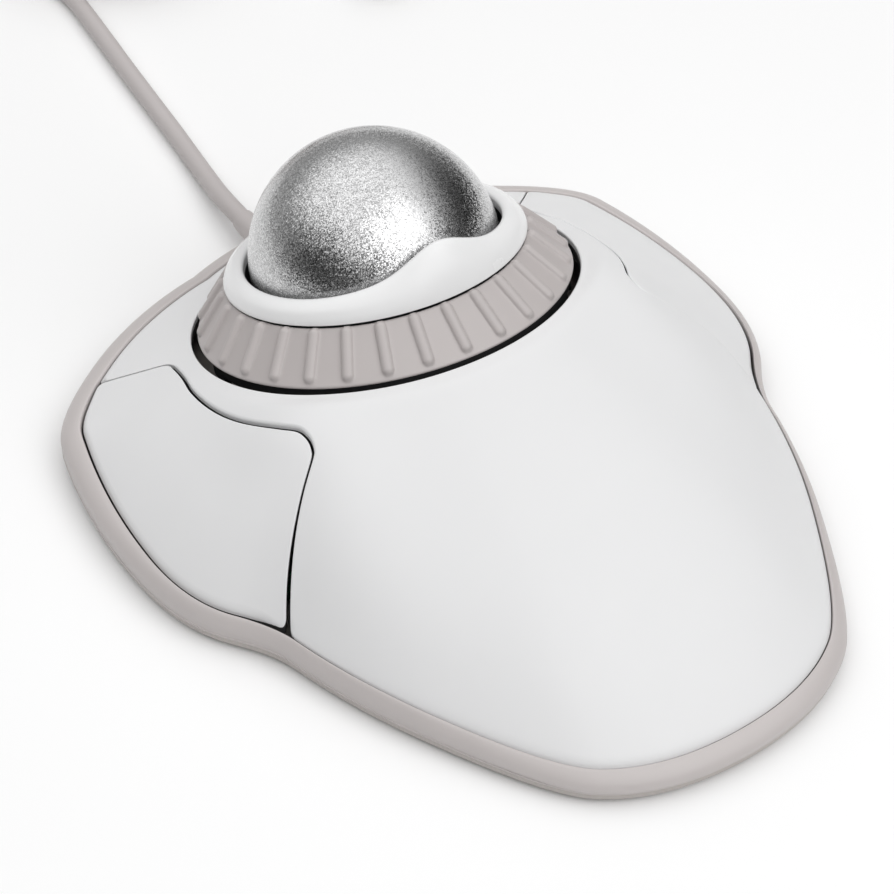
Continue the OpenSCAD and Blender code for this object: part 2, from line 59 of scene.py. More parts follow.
# ------------------------------------------------------------- node helpers
class Mat:
    """A small builder for procedural materials."""

    def __init__(self, name):
        self.m = bpy.data.materials.new(name)
        self.m.use_nodes = True
        self.t = self.m.node_tree
        self.b = self.t.nodes["Principled BSDF"]
        self.co = self.t.nodes.new("ShaderNodeTexCoord").outputs["Object"]

    def new(self, kind, **k):
        n = self.t.nodes.new(kind)
        for a, v in k.items():
            setattr(n, a, v)
        return n

    def link(self, a, b):
        self.t.links.new(a, b)

    def put(self, n, key, v):
        s = n.inputs[key]
        if isinstance(v, bpy.types.NodeSocket):
            self.link(v, s)
        else:
            s.default_value = v
        return s

    def set(self, **k):
        for a, v in k.items():
            self.put(self.b, a.replace("_", " "), v)
        return self

    def noise(self, scale, detail=3.0, rough=0.55, w=None, vec=None, dist=0.0, out="Fac"):
        n = self.new("ShaderNodeTexNoise")
        self.put(n, "Vector", vec or self.co)
        self.put(n, "Scale", scale)
        self.put(n, "Detail", detail)
        self.put(n, "Roughness", rough)
        self.put(n, "Distortion", dist)
        return n.outputs[out]

    def voronoi(self, scale, feature="F1", out="Distance", rnd=1.0, vec=None):
        n = self.new("ShaderNodeTexVoronoi", feature=feature)
        self.put(n, "Vector", vec or self.co)
        self.put(n, "Scale", scale)
        self.put(n, "Randomness", rnd)
        return n.outputs[out]

    def map(self, v, a, b, c, d, smooth=False):
        n = self.new("ShaderNodeMapRange")
        if smooth:
            n.interpolation_type = "SMOOTHSTEP"
        self.put(n, "Value", v)
        for k, x in zip(("From Min", "From Max", "To Min", "To Max"), (a, b, c, d)):
            self.put(n, k, x)
        return n.outputs[0]

    def math(self, op, a, b=0.0):
        n = self.new("ShaderNodeMath", operation=op)
        self.put(n, 0, a)
        self.put(n, 1, b)
        return n.outputs[0]

    def mix(self, f, a, b, kind="RGBA", blend="MIX"):
        n = self.new("ShaderNodeMix", data_type=kind, blend_type=blend)
        i = {"RGBA": (0, 6, 7, 2), "FLOAT": (0, 2, 3, 0)}[kind]
        self.put(n, i[0], f)
        self.put(n, i[1], a)
        self.put(n, i[2], b)
        return n.outputs[i[3]]

    def bump(self, h, strength, dist, normal=None):
        n = self.new("ShaderNodeBump")
        self.put(n, "Height", h)
        self.put(n, "Strength", strength)
        self.put(n, "Distance", dist)
        if normal is not None:
            self.put(n, "Normal", normal)
        return n.outputs[0]


def c3(r, g, b):
    return (r, g, b, 1.0)


def plastic(name, col, rough, grain=3200.0, grain_h=0.00002, strength=0.15, vary=0.03, coat=0.0, spec=0.5, blotch=60.0):
    """Moulded plastic: fine spark-eroded grain, slow colour and gloss variation."""
    m = Mat(name)
    slow = m.noise(blotch, 3, 0.6)
    fine = m.noise(grain, 2, 0.5)
    dark = c3(*[x * (1 - vary) for x in col])
    light = c3(*[min(1, x * (1 + vary)) for x in col])
    m.set(Base_Color=m.mix(m.map(slow, 0.3, 0.7, 0, 1), dark, light),
          Roughness=m.map(m.noise(blotch * 3, 4, 0.6), 0.25, 0.75, rough * 0.9, rough * 1.1),
          Normal=m.bump(fine, strength, grain_h))
    m.b.inputs["Specular IOR Level"].default_value = spec
    if coat:
        m.b.inputs["Coat Weight"].default_value = coat
        m.b.inputs["Coat Roughness"].default_value = 0.08
    return m.m


MATS = {}
MATS["white"] = plastic("white_case", (0.80, 0.80, 0.805), 0.42, grain=5200, grain_h=0.000006, strength=0.12, vary=0.006, spec=0.4)
MATS["white_key"] = plastic("white_key", (0.80, 0.80, 0.805), 0.42, grain=5200, grain_h=0.000006, strength=0.12, vary=0.006, spec=0.5)
# The collar's white is lighter than the case's: partly the part's own tone, partly painted light that makes up for its
# dimly lit front face.
MATS["white_collar"] = plastic("white_collar", (0.9, 0.9, 0.902), 0.25, grain=5200, grain_h=0.000006, strength=0.1, vary=0.006, spec=0.5)
MATS["taupe"] = plastic("taupe_rim", (0.555, 0.517, 0.508), 0.42, grain=2600, grain_h=0.00001, strength=0.2, vary=0.012)
MATS["taupe_ring"] = plastic("taupe_ring", (0.52, 0.482, 0.474), 0.45, grain=2600, grain_h=0.00001, strength=0.2, vary=0.015)
MATS["cover"] = plastic("taupe_cover", (0.50, 0.465, 0.44), 0.5, grain=2200, grain_h=0.00002, strength=0.3, vary=0.02)
MATS["dark"] = plastic("dark_plastic", (0.025, 0.025, 0.027), 0.5, grain=2500, grain_h=0.00002, strength=0.3, vary=0.1)
MATS["socket"] = plastic("socket_plastic", (0.016, 0.016, 0.017), 0.5, grain=2500, grain_h=0.00002, strength=0.25, vary=0.08)
# The scroll ring's core is near-black as painted shade, so the gap between ring, collar and case reads black.
MATS["ring_core"] = plastic("ring_core", (0.018, 0.018, 0.019), 0.6, grain=2500, grain_h=0.00002, strength=0.25, vary=0.06)
# This near-black material is painted shade for the edge walls and undersides of the white mouldings, so the gaps
# between parts read black.
MATS["painted_gap_shade"] = plastic("painted_gap_shade", (0.03, 0.03, 0.031), 0.6, grain=2500, grain_h=0.00002, strength=0.25, vary=0.06)
MATS["ceramic"] = plastic("ceramic", (0.75, 0.72, 0.66), 0.12, grain=4000, grain_h=0.000004, strength=0.1, vary=0.02, coat=0.5)
MATS["cream"] = plastic("cream_plastic", (0.78, 0.72, 0.6), 0.45, grain=2500, grain_h=0.00002, strength=0.2, vary=0.03)
MATS["lever"] = plastic("lever_plastic", (0.52, 0.52, 0.53), 0.4, grain=2500, grain_h=0.00002, strength=0.2, vary=0.03)
MATS["red"] = plastic("plunger_plastic", (0.55, 0.04, 0.03), 0.35, grain=2500, grain_h=0.00002, strength=0.2, vary=0.04)
MATS["tie"] = plastic("tie_plastic", (0.03, 0.03, 0.03), 0.6, grain=900, grain_h=0.00008, strength=0.6, vary=0.15)


def rubber(name, col, rough=0.7, grain=1800.0, h=0.00003, strength=0.5, vary=0.05):
    m = Mat(name)
    slow = m.noise(45, 4, 0.6)
    fine = m.noise(grain, 4, 0.65)
    dark = c3(*[x * (1 - vary) for x in col])
    light = c3(*[min(1, x * (1 + vary)) for x in col])
    m.set(Base_Color=m.mix(m.map(slow, 0.3, 0.7, 0, 1), dark, light),
          Roughness=m.map(m.noise(260, 3, 0.6), 0.3, 0.7, rough - 0.06, min(1, rough + 0.06)),
          Normal=m.bump(fine, strength, h))
    m.b.inputs["Specular IOR Level"].default_value = 0.35
    return m.m


MATS["foot"] = rubber("foot_rubber", (0.05, 0.05, 0.052), 0.8)
MATS["cable"] = rubber("cable_jacket", (0.52, 0.485, 0.478), 0.5, grain=1500, h=0.00002, strength=0.25, vary=0.02)


def metal(name, col, rough, scale=(2400, 2400, 120), bump=0.00001):
    """Plated or drawn metal with fine directional marks."""
    m = Mat(name)
    mp = m.new("ShaderNodeMapping")
    m.put(mp, "Vector", m.co)
    mp.inputs["Scale"].default_value = scale
    n = m.noise(1.0, 4, 0.6, vec=mp.outputs[0])
    m.set(Metallic=1.0, Base_Color=m.mix(m.noise(90, 3), c3(*[x * 0.92 for x in col]), c3(*col)),
          Roughness=m.map(n, 0.3, 0.7, rough * 0.8, rough * 1.25), Normal=m.bump(n, 0.3, bump))
    return m.m


MATS["steel"] = metal("plated_steel", (0.62, 0.62, 0.64), 0.28)
MATS["tin"] = metal("tin_parts", (0.55, 0.55, 0.56), 0.35)
MATS["plug_metal"] = metal("plug_metal", (0.72, 0.72, 0.74), 0.22, scale=(300, 2400, 2400))


def board():
    """Circuit board: green mask over faint copper tracks."""
    m = Mat("circuit_board")
    br = m.new("ShaderNodeTexBrick")
    m.put(br, "Vector", m.co)
    m.put(br, "Scale", 260.0)
    m.put(br, "Mortar Size", 0.03)
    br.offset = 0.5
    tracks = br.outputs["Fac"]
    dots = m.map(m.voronoi(420, rnd=0.4), 0.12, 0.2, 1, 0)
    base = m.mix(tracks, c3(0.008, 0.10, 0.04), c3(0.02, 0.17, 0.075))
    m.set(Base_Color=m.mix(m.math("MULTIPLY", dots, 0.6), base, c3(0.55, 0.5, 0.35)),
          Roughness=m.map(m.noise(300), 0.3, 0.7, 0.25, 0.4), Normal=m.bump(tracks, 0.3, 0.00003))
    return m.m


def glassy(name, col, rough=0.05):
    m = Mat(name)
    m.set(Base_Color=m.mix(m.noise(200), c3(*[x * 0.95 for x in col]), c3(*col)),
          Roughness=m.map(m.noise(500), 0.3, 0.7, rough, rough + 0.06))
    m.b.inputs["Transmission Weight"].default_value = 0.85
    m.b.inputs["IOR"].default_value = 1.49
    return m.m


MATS["board"] = board()
MATS["lens"] = glassy("sensor_lens", (0.85, 0.9, 0.95))
MATS["lamp"] = glassy("sensor_lamp", (0.9, 0.2, 0.15), 0.1)


def ball_paint():
    """Silver metal flake paint under a polished clear coat."""
    m = Mat("ball_silver")
    flake = m.voronoi(7200, out="Color")
    sep = m.new("ShaderNodeSeparateColor")
    m.link(flake, sep.inputs[0])
    bright = sep.outputs[0]
    m.set(Base_Color=m.mix(m.map(bright, 0.0, 1.0, 0, 1), c3(0.27, 0.27, 0.272), c3(0.86, 0.86, 0.865)),
          Metallic=1.0, Roughness=m.map(sep.outputs[1], 0, 1, 0.2, 0.32))
    nm = m.new("ShaderNodeNormalMap")
    nm.space = "OBJECT"
    geo = m.new("ShaderNodeNewGeometry")
    vm = m.new("ShaderNodeVectorMath", operation="SUBTRACT")
    m.link(flake, vm.inputs[0])
    vm.inputs[1].default_value = (0.5, 0.5, 0.5)
    vs = m.new("ShaderNodeVectorMath", operation="SCALE")
    m.link(vm.outputs[0], vs.inputs[0])
    vs.inputs["Scale"].default_value = 0.3
    va = m.new("ShaderNodeVectorMath", operation="ADD")
    m.link(geo.outputs["Normal"], va.inputs[0])
    m.link(vs.outputs[0], va.inputs[1])
    vn = m.new("ShaderNodeVectorMath", operation="NORMALIZE")
    m.link(va.outputs[0], vn.inputs[0])
    m.t.nodes.remove(nm)
    m.link(vn.outputs[0], m.b.inputs["Normal"])
    m.b.inputs["Coat Weight"].default_value = 0.6
    m.b.inputs["Coat Roughness"].default_value = 0.06
    return m.m


MATS["ball"] = ball_paint()

# ------------------------------------------------------------- mesh helpers
def mesh_object(name, verts, faces, mat, body, smooth=True, normals=None, sharp=35.0):
    """verts in millimetres; rides on a body."""
    me = bpy.data.meshes.new(name)
    v = np.asarray(verts, float) * MM
    me.from_pydata([tuple(p) for p in v], [], [tuple(int(i) for i in f) for f in faces])
    me.validate(clean_customdata=False)
    me.update()
    o = bpy.data.objects.new(name, me)
    bpy.context.scene.collection.objects.link(o)
    me.materials.append(MATS[mat])
    if smooth:
        me.polygons.foreach_set("use_smooth", [True] * len(me.polygons))
        if normals is not None:
            me.normals_split_custom_set_from_vertices([tuple(n) for n in normals])
        elif sharp:
            me.set_sharp_from_angle(angle=rad(sharp))
    me.update()
    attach(o, body)
    return o


def grid_faces(n, m, close_i=True, close_j=False, flip=False):
    f = []
    for i in range(n if close_i else n - 1):
        for j in range(m if close_j else m - 1):
            a, b = i * m + j, i * m + (j + 1) % m
            c, d = ((i + 1) % n) * m + (j + 1) % m, ((i + 1) % n) * m + j
            f.append((a, b, c, d) if flip else (a, d, c, b))
    return f


# ---------------------------------------------------- outlines of the case
SEAM = [[(0, -63), (13, -63), 9], [(21, -57.5), (26.5, -53.7), 9], [(35.5, -36.5), (41.1, -25.8), 9], [(44, -14.5), (45.1, -10.2), 5],
        [(49, -5), (53.7, 1.3), 7], [(53.7, 12), (53.7, 26), 10], [(49.5, 40), (48.2, 44.3), 7], [(38, 51), (27.8, 57.7), 9],
        [(15, 59.7), (7, 62.5), 5], [(0, 62.5)]]
BALL = np.array([0.0, 31.0, 27.0])
TILT = rad(20)
OPEN_R = 31.1
OPEN_Y, OPEN_Z = 31 - 7.4 * sin(TILT), 27 - 7.4 * cos(TILT)


def bends(plan, k=1):
    """points along quadratic stretches [start, pull, steps]; k times as many as the CAD takes"""
    out = []
    for (a, c, n), nxt in zip(plan[:-1], plan[1:]):
        t = (np.arange(n * k) / (n * k))[:, None]
        out.append(np.array(a) * (1 - t) ** 2 + np.array(c) * 2 * t * (1 - t) + np.array(nxt[0]) * t * t)
    return np.vstack(out + [[plan[-1][0]]])


def loop(plan, k):
    h = bends(plan, k)
    return np.vstack([h, (h[1:-1] * [-1, 1])[::-1]])


def rim_w(y):
    u = np.clip((y + 17) / 66, 0, 1)
    return np.where(y < -17, 1.3 + 1.7 * ((y + 17) / 46) ** 2, 1.3 + 2.2 * u * u * (3 - 2 * u))


def cut_run(phi):
    r = 34.6 + 0.075 * (96 - phi)
    return (r * sin(rad(phi)), OPEN_Y - r * cos(rad(phi)))


def unit(v):
    return v / np.maximum(np.linalg.norm(v, axis=-1, keepdims=True), 1e-12)


def inset(o, d):
    t = unit(np.roll(o, -1, 0) - np.roll(o, 1, 0))
    return o + np.reshape(d, (-1, 1)) * np.stack([-t[:, 1], t[:, 0]], 1)


def catmull(p, k):
    """open Catmull-Rom curve through p, k samples a span"""
    p = np.array(p, float)
    e = np.vstack([2 * p[0] - p[1], p, 2 * p[-1] - p[-2]])
    out = []
    for i in range(len(p) - 1):
        a, b, c, d = e[i], e[i + 1], e[i + 2], e[i + 3]
        for j in range(k):
            t = j / k
            out.append(0.5 * (2 * b + (c - a) * t + (2 * a - 5 * b + 4 * c - d) * t * t + (3 * b - a - 3 * c + d) * t ** 3))
    out.append(p[-1])
    return np.array(out)


def resample(p, h, closed=False):
    q = np.vstack([p, p[:1]]) if closed else p
    s = np.r_[0, np.cumsum(np.linalg.norm(np.diff(q, axis=0), axis=1))]
    n = max(2, int(round(s[-1] / h)))
    u = np.linspace(0, s[-1], n + 1)
    out = np.stack([np.interp(u, s, q[:, k]) for k in range(q.shape[1])], 1)
    return out[:-1] if closed else out


seam_d = loop(SEAM, 6)
rim_d = inset(seam_d, -rim_w(seam_d[:, 1]))


def seam_z(y):
    return 6.7 + 0.024 * y + 0.5 * np.exp(-((y + 30) / 15) ** 2)


def polar(p):
    return np.degrees(np.arctan2(p[..., 0], OPEN_Y - p[..., 1])), np.hypot(p[..., 0], OPEN_Y - p[..., 1])


_phi, _rho = polar(seam_d)
_k = np.argsort(_phi)
_phi, _rho = _phi[_k], _rho[_k]


def smooth01(x):
    t = np.clip(x, 0, 1)
    return t * t * (3 - 2 * t)


def open_rho(phi):
    f = np.radians(phi)
    return 1 / np.sqrt((np.sin(f) / OPEN_R) ** 2 + (np.cos(f) / (OPEN_R * cos(TILT))) ** 2)


def lip(a):
    return 1.3 * np.exp(-(a / 78) ** 6)


def skin(p):
    """height of the case's upper surface at plan points, and (phi, s)"""
    phi, rho = polar(p)
    re = open_rho(phi)
    rp = np.interp(phi, _phi, _rho, period=360)
    L = rp - re
    s = np.clip((rho - re) / L, 0, 1)
    c = np.cos(np.radians(phi))
    ze = OPEN_Z - math.tan(TILT) * (-re * c)
    zt = seam_z(OPEN_Y - rp * c)
    a = np.abs(phi)
    l = 0.7 - 0.36 * np.exp(-((a - 46) / 15) ** 2) + 0.2 * smooth01((a - 90) / 20)
    n = 3 + np.exp(-(a / 30) ** 2)
    h = lip(a)
    top = ze + h * (1 - np.exp(-(s * L / 2.2) ** 2))
    swell = 1.25 * np.exp(-((a - 57) / 12.5) ** 2) * smooth01(s / 0.14) * np.exp(-((s - 0.27) / 0.19) ** 2)
    return top - (ze + h - zt) * (l * s + (1 - l) * s ** n) + swell, phi, s


def step_at(phi, s):
    return 0.6 * (1 - 0.6 * s) * smooth01((106 - np.abs(phi)) / 22)


# -------------------------------------------------------- panels from plans
def cross_lines(a, b):
    """first and last crossing of polyline a with polyline b: (index in a, point)"""
    hits = []
    for i in range(len(a) - 1):
        p, r = a[i], a[i + 1] - a[i]
        q, s = b[:-1], b[1:] - b[:-1]
        den = r[0] * s[:, 1] - r[1] * s[:, 0]
        den[np.abs(den) < 1e-12] = 1e-12
        w = q - p
        t = (w[:, 0] * s[:, 1] - w[:, 1] * s[:, 0]) / den
        u = (w[:, 0] * r[1] - w[:, 1] * r[0]) / den
        for j in np.nonzero((t >= 0) & (t < 1) & (u >= 0) & (u < 1))[0]:
            hits.append((i, int(j), p + t[j] * r))
    return hits


def round_corners(p, r, angle=25):
    """closed outline with its sharp corners rounded; p is evenly spaced"""
    h = np.linalg.norm(p[1] - p[0])
    k = max(1, int(round(r / h)))
    d1 = unit(p - np.roll(p, 1, 0))
    d2 = unit(np.roll(p, -1, 0) - p)
    turn = np.degrees(np.arccos(np.clip((d1 * d2).sum(1), -1, 1)))
    n = len(p)
    q = p.copy()
    for i in np.nonzero(turn > angle)[0]:
        a, b, c = p[(i - k) % n], p[i], p[(i + k) % n]
        for j in range(-k, k + 1):
            t = (j + k) / (2 * k)
            q[(i + j) % n] = a * (1 - t) ** 2 + 2 * b * t * (1 - t) + c * t * t
    return q


def nearest(p, edge):
    """distance of each point to a set of boundary samples, and the index"""
    out_d, out_i = np.empty(len(p)), np.empty(len(p), int)
    for a in range(0, len(p), 2000):
        d = np.linalg.norm(p[a:a + 2000, None] - edge[None], axis=2)
        out_i[a:a + 2000] = d.argmin(1)
        out_d[a:a + 2000] = d.min(1)
    return out_d, out_i


def inside(p, poly):
    x, y = p[:, 0], p[:, 1]
    c = np.zeros(len(p), bool)
    a = poly
    b = np.roll(poly, -1, 0)
    for (x1, y1), (x2, y2) in zip(a, b):
        m = ((y1 > y) != (y2 > y))
        if m.any():
            with np.errstate(all="ignore"):
                c ^= m & (x < (x2 - x1) * (y - y1) / (y2 - y1) + x1)
    return c


def line_dist(p, loops):
    """exact distance to the closed loops, with the index of the nearest sample"""
    best = np.full(len(p), 1e9)
    idx = np.zeros(len(p), int)
    off = 0
    for lp in loops:
        a, b = lp, np.roll(lp, -1, 0)
        ab = b - a
        for k in range(0, len(p), 1500):
            q = p[k:k + 1500]
            t = np.clip(((q[:, None] - a) * ab).sum(2) / (ab * ab).sum(1), 0, 1)
            d = np.linalg.norm(a + t[..., None] * ab - q[:, None], axis=2)
            j = d.argmin(1)
            dm = d[np.arange(len(q)), j]
            better = dm < best[k:k + 1500]
            best[k:k + 1500][better] = dm[better]
            idx[k:k + 1500][better] = (off + j)[better]
        off += len(lp)
    return best, idx


def panel(name, loops, radii, top, mat, body, thick=2.0, floor=None, grid=1.1, wall_rows=3, mirror=False, both=False, flat=None, dark=None):
    """Closed shell over a plan region. loops[0] is the outer outline, the others are holes; radii gives each outline
    point its edge rounding, flat how much of that the edge drops; top(p) is the height before rounding."""
    edge = np.vstack(loops)
    rr = np.concatenate(radii)
    dd = rr * (1.0 if flat is None else np.concatenate(flat))
    pts = [edge]
    ring = []
    for lp, r, sgn in zip(loops, radii, [1] + [-1] * (len(loops) - 1)):
        t = unit(np.roll(lp, -1, 0) - np.roll(lp, 1, 0))
        nrm = np.stack([-t[:, 1], t[:, 0]], 1)
        area = 0.5 * np.sum(lp[:, 0] * np.roll(lp[:, 1], -1) - np.roll(lp[:, 0], -1) * lp[:, 1])
        nrm *= math.copysign(1, area) * sgn
        for k in (0.04, 0.14, 0.3, 0.5, 0.75, 1.0, 1.4):
            ring.append((lp + nrm * (r * k)[:, None], r * k))
    for q, want in ring:
        d, _ = line_dist(q, loops)
        ok = (d > want * 0.97) & inside(q, loops[0])
        for h in loops[1:]:
            ok &= ~inside(q, h)
        pts.append(q[ok])
    lo, hi = loops[0].min(0), loops[0].max(0)
    gx = np.arange(lo[0], hi[0], grid)
    gy = np.arange(lo[1], hi[1], grid * 0.866)
    g = np.array([(x + (grid / 2 if j % 2 else 0), y) for j, y in enumerate(gy) for x in gx])
    d, i = line_dist(g, loops)
    ok = (d > rr[i] * 1.4 + grid * 0.5) & inside(g, loops[0])
    for h in loops[1:]:
        ok &= ~inside(g, h)
    pts.append(g[ok])
    P = np.vstack(pts)
    edges, start = [], 0
    for lp in loops:
        n = len(lp)
        edges += [(start + k, start + (k + 1) % n) for k in range(n)]
        start += n
    vo, _, fo, ov, _, _ = delaunay_2d_cdt([Vector(p) for p in P], edges, [], 0, 1e-5)
    V = np.array([tuple(v) for v in vo])
    F = np.array([tuple(f) for f in fo])
    c = V[F].mean(1)
    ok = inside(c, loops[0])
    for h in loops[1:]:
        ok &= ~inside(c, h)
    F = F[ok]
    # orient upwards
    ar = (V[F[:, 1], 0] - V[F[:, 0], 0]) * (V[F[:, 2], 1] - V[F[:, 0], 1]) - (V[F[:, 2], 0] - V[F[:, 0], 0]) * (V[F[:, 1], 1] - V[F[:, 0], 1])
    F[ar < 0] = F[ar < 0][:, ::-1]
    used = np.unique(F)
    remap = -np.ones(len(V), int)
    remap[used] = np.arange(len(used))
    V, F = V[used], remap[F]

    def height(q):
        d, i = line_dist(q, loops)
        r = rr[i]
        f = np.clip(1 - d / r, 0, 1)
        return top(q) - dd[i] * (1 - np.sqrt(np.maximum(0, 1 - f * f)))

    z = height(V)
    e = 0.02
    zx = (height(V + [e, 0]) - height(V - [e, 0])) / (2 * e)
    zy = (height(V + [0, e]) - height(V - [0, e])) / (2 * e)
    # boundary half-edges
    cnt = {}
    for a, b, c_ in F:
        for u, w in ((a, b), (b, c_), (c_, a)):
            cnt[(u, w)] = cnt.get((u, w), 0) + 1
    bnd = [(u, w) for (u, w) in cnt if (w, u) not in cnt]
    bset = sorted(set([u for u, _ in bnd] + [w for _, w in bnd]))
    onb = np.zeros(len(V), bool)
    onb[bset] = True
    n_up = unit(np.stack([-zx, -zy, np.ones(len(V))], 1))
    # on the boundary the rounding ends vertical
    nb = np.zeros((len(V), 2))
    for u, w in bnd:
        t = V[w] - V[u]
        t = t / max(np.linalg.norm(t), 1e-9)
        for k in (u, w):
            nb[k] += [t[1], -t[0]]
    nb = unit(nb)
    r_b = rr[line_dist(V, loops)[1]]
    side = np.hstack([nb, np.zeros((len(V), 1))])
    n_top = n_up.copy()
    n_top[onb] = unit(side[onb] + 0.15 * n_up[onb])
    low = z - thick
    if floor is not None:
        low = np.maximum(low, floor(V))
    low = np.minimum(low, z - 0.05)
    verts = [np.column_stack([V, z])]
    norms = [n_top]
    nv = len(V)
    faces = [tuple(f) for f in F]
    kinds = [0] * len(faces)
    # faces flagged 1 in kinds get painted shade: every lower wall row, the top wall row where dark(q) holds, and the
    # whole underside
    dk = np.ones(len(V), bool) if dark is None else dark(V)
    # wall rows
    bi = {b: k for k, b in enumerate(bset)}
    rows = []
    for k in range(wall_rows + 1):
        t = k / wall_rows
        w = np.array(bset)
        rows.append(nv + k * len(bset))
        verts.append(np.column_stack([V[w], z[w] * (1 - t) + low[w] * t]))
        norms.append(side[w])
    for k in range(wall_rows):
        for u, w in bnd:
            faces.append((rows[k] + bi[u], rows[k + 1] + bi[u], rows[k + 1] + bi[w], rows[k] + bi[w]))
            kinds.append(int(k > 0 or dk[u]))
    base = nv + (wall_rows + 1) * len(bset)
    verts.append(np.column_stack([V, low]))
    norms.append(-n_up)
    faces += [(base + c_, base + b, base + a) for a, b, c_ in F]
    kinds += [1] * len(F)
    VV, NN = np.vstack(verts), np.vstack(norms)
    made = []
    for left in ([False, True] if both else [mirror]):
        v2, n2, f2 = VV.copy(), NN.copy(), faces
        if left:
            v2[:, 0] *= -1
            n2[:, 0] *= -1
            f2 = [f[::-1] for f in faces]
        nm = name if not both else ("left_" if left else "right_") + name
        bd = body if not both else ("left_" if left else "right_") + body
        o = welded(nm, v2, f2, mat, bd, n2, kinds)
        made.append(o)
    return made


def welded(name, verts, faces, mat, body, normals, kinds=None):
    """One closed mesh: seams between top, walls and bottom are joined, and their shading normals kept per corner."""
    v = np.asarray(verts, float)
    key = {}
    idx = np.empty(len(v), int)
    uniq = []
    for i, p in enumerate(np.round(v, 5)):
        k = tuple(p)
        if k not in key:
            key[k] = len(uniq)
            uniq.append(v[i])
        idx[i] = key[k]
    out, corner, kind = [], [], []
    for fi, f in enumerate(faces):
        g = [idx[k] for k in f]
        h, cn = [], []
        for a, k in zip(g, f):
            if not h or a != h[-1]:
                h.append(a)
                cn.append(normals[k])
        if len(h) > 1 and h[0] == h[-1]:
            h.pop(), cn.pop()
        if len(set(h)) > 2:
            out.append(tuple(int(a) for a in h))
            kind.append(0 if kinds is None else kinds[fi])
            corner += [tuple(n) for n in cn]
    me = bpy.data.meshes.new(name)
    me.from_pydata([tuple(p * MM) for p in np.array(uniq)], [], out)
    me.polygons.foreach_set("use_smooth", [True] * len(me.polygons))
    me.normals_split_custom_set(corner)
    me.update()
    o = bpy.data.objects.new(name, me)
    bpy.context.scene.collection.objects.link(o)
    me.materials.append(MATS[mat])
    if kinds is not None:                # edge walls and undersides get the near-black material as painted shade, so the gaps read black
        me.materials.append(MATS["painted_gap_shade"])
        me.polygons.foreach_set("material_index", kind)
    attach(o, body)
    return o


# --------------------------------------------------------------- the cable
ROUTE = [[0, 73, 4.2], [0.1, 76, 4.1], [0.4, 80, 3.6], [1, 84, 3], [1.7, 88, 2.4], [2.3, 92, 2], [3, 97, 1.8], [3.6, 102, 1.8],
         [4.3, 109, 1.8], [5, 116, 1.8], [5.7, 123, 1.8], [6.5, 130, 1.8], [7.3, 137, 1.8], [8, 144, 1.8], [8.5, 150, 1.8],
         [8.6, 155, 1.8]]
COIL = (28.0, 168.0)
TAIL = [[48, 185.9, 1.8], [52.7, 181.9, 1.8], [56.8, 177.4, 2.4], [59.8, 172.6, 3.4], [61.3, 168.8, 4.1], [61.5, 166, 4.2]]
CABLE_D = 3.4
PLUG_X, PLUG_Y = 61.5, 166.0


def coil_points():
    """clockwise turns, four layers of three, from the west side to the north-east, then down the outside"""
    radii = [22.6, 19.25, 15.9]
    order = [(r, 1.75 + 3.36 * k) for k in range(4) for r in (radii if k % 2 == 0 else radii[::-1])]
    start, turns = 200.0, 11
    pts = []
    per = 24
    total = (start - 160.0 + 360.0 * turns)
    n = int(total / 360 * per)
    for i in range(n + 1):
        a = total * i / n
        k = int(a // 360)
        f = (a - 360 * k) / 360
        r0, z0 = order[min(k, 11)]
        r1, z1 = order[min(k + 1, 11)]
        w = float(smooth01((f - 0.80) / 0.20))
        r, z = r0 + (r1 - r0) * w, z0 + (z1 - z0) * w
        t = rad(start - a)
        pts.append([COIL[0] + r * cos(t), COIL[1] + r * sin(t), z])
    # the last part comes down the outside
    for a, r, z in ((145, 23.0, 11.4), (130, 24.6, 10.0), (115, 25.7, 8.3), (100, 26.0, 6.5), (86, 26.0, 4.9), (72, 26.0, 3.3), (60, 26.0, 2.2)):
        t = rad(a)
        pts.append([COIL[0] + r * cos(t), COIL[1] + r * sin(t), z])
    return pts


def curve_tube(name, pts, d, mat, body, order=4, res=8, bevel=5):
    cu = bpy.data.curves.new(name, "CURVE")
    cu.dimensions = "3D"
    cu.bevel_depth = d / 2 * MM
    cu.bevel_resolution = bevel
    cu.use_fill_caps = True
    sp = cu.splines.new("NURBS")
    sp.points.add(len(pts) - 1)
    for p, q in zip(sp.points, pts):
        p.co = (q[0] * MM, q[1] * MM, q[2] * MM, 1)
    sp.order_u = order
    sp.use_endpoint_u = True
    sp.resolution_u = res
    o = bpy.data.objects.new(name, cu)
    bpy.context.scene.collection.objects.link(o)
    cu.materials.append(MATS[mat])
    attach(o, body)
    return o


cable_pts = ROUTE[:-1] + coil_points() + TAIL
cable = curve_tube("cable_line", cable_pts, CABLE_D, "cable", "base", res=6)
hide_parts("cable", "cable_coil", "cable_tail")

# ------------------------------------------------- upper case and buttons
CUT = np.vstack([bends([[(53, 61.5), (41, 46.5), 5], [(34.6, 40.5), (33.4, 39.3), 3], [(33.4, 38), (33.5, 35), 3], [cut_run(92)]]),
                 [cut_run(x) for x in np.arange(88.1, 56, -3.9)],
                 bends([[cut_run(53), (29.2, 2.3), 4], [(31, 0.3), (42.4, -7.9), 6], [(46, -16.5)]]), [(60, -18)]])
B = resample(catmull(CUT, 14), 0.45)
edge_d = inset(seam_d, 0.14)
seam_c = np.vstack([edge_d, edge_d[:1]])
hits = cross_lines(B, seam_c)
(ia, ja, pa), (ib, jb, pb) = hits[0], hits[-1]
half = np.vstack([edge_d[:jb + 1], pb, B[ia + 1:ib + 1][::-1], pa, edge_d[ja + 1:len(edge_d) // 2 + 1]])
half = resample(half, 0.45)
full = np.vstack([half, (half[1:-1] * [-1, 1])[::-1]])


def cut_radius(p, on_seam, on_cut):
    """edge rounding of an outline point: small at the rim, larger along a button, thin again on the rear seam"""
    d_s, _ = nearest(p, seam_d)
    w = smooth01((d_s - 0.3) / 1.2)
    rear = smooth01((p[:, 1] - 36) / 4)
    return on_seam * (1 - w) + (on_cut * (1 - rear) + 0.22 * rear) * w


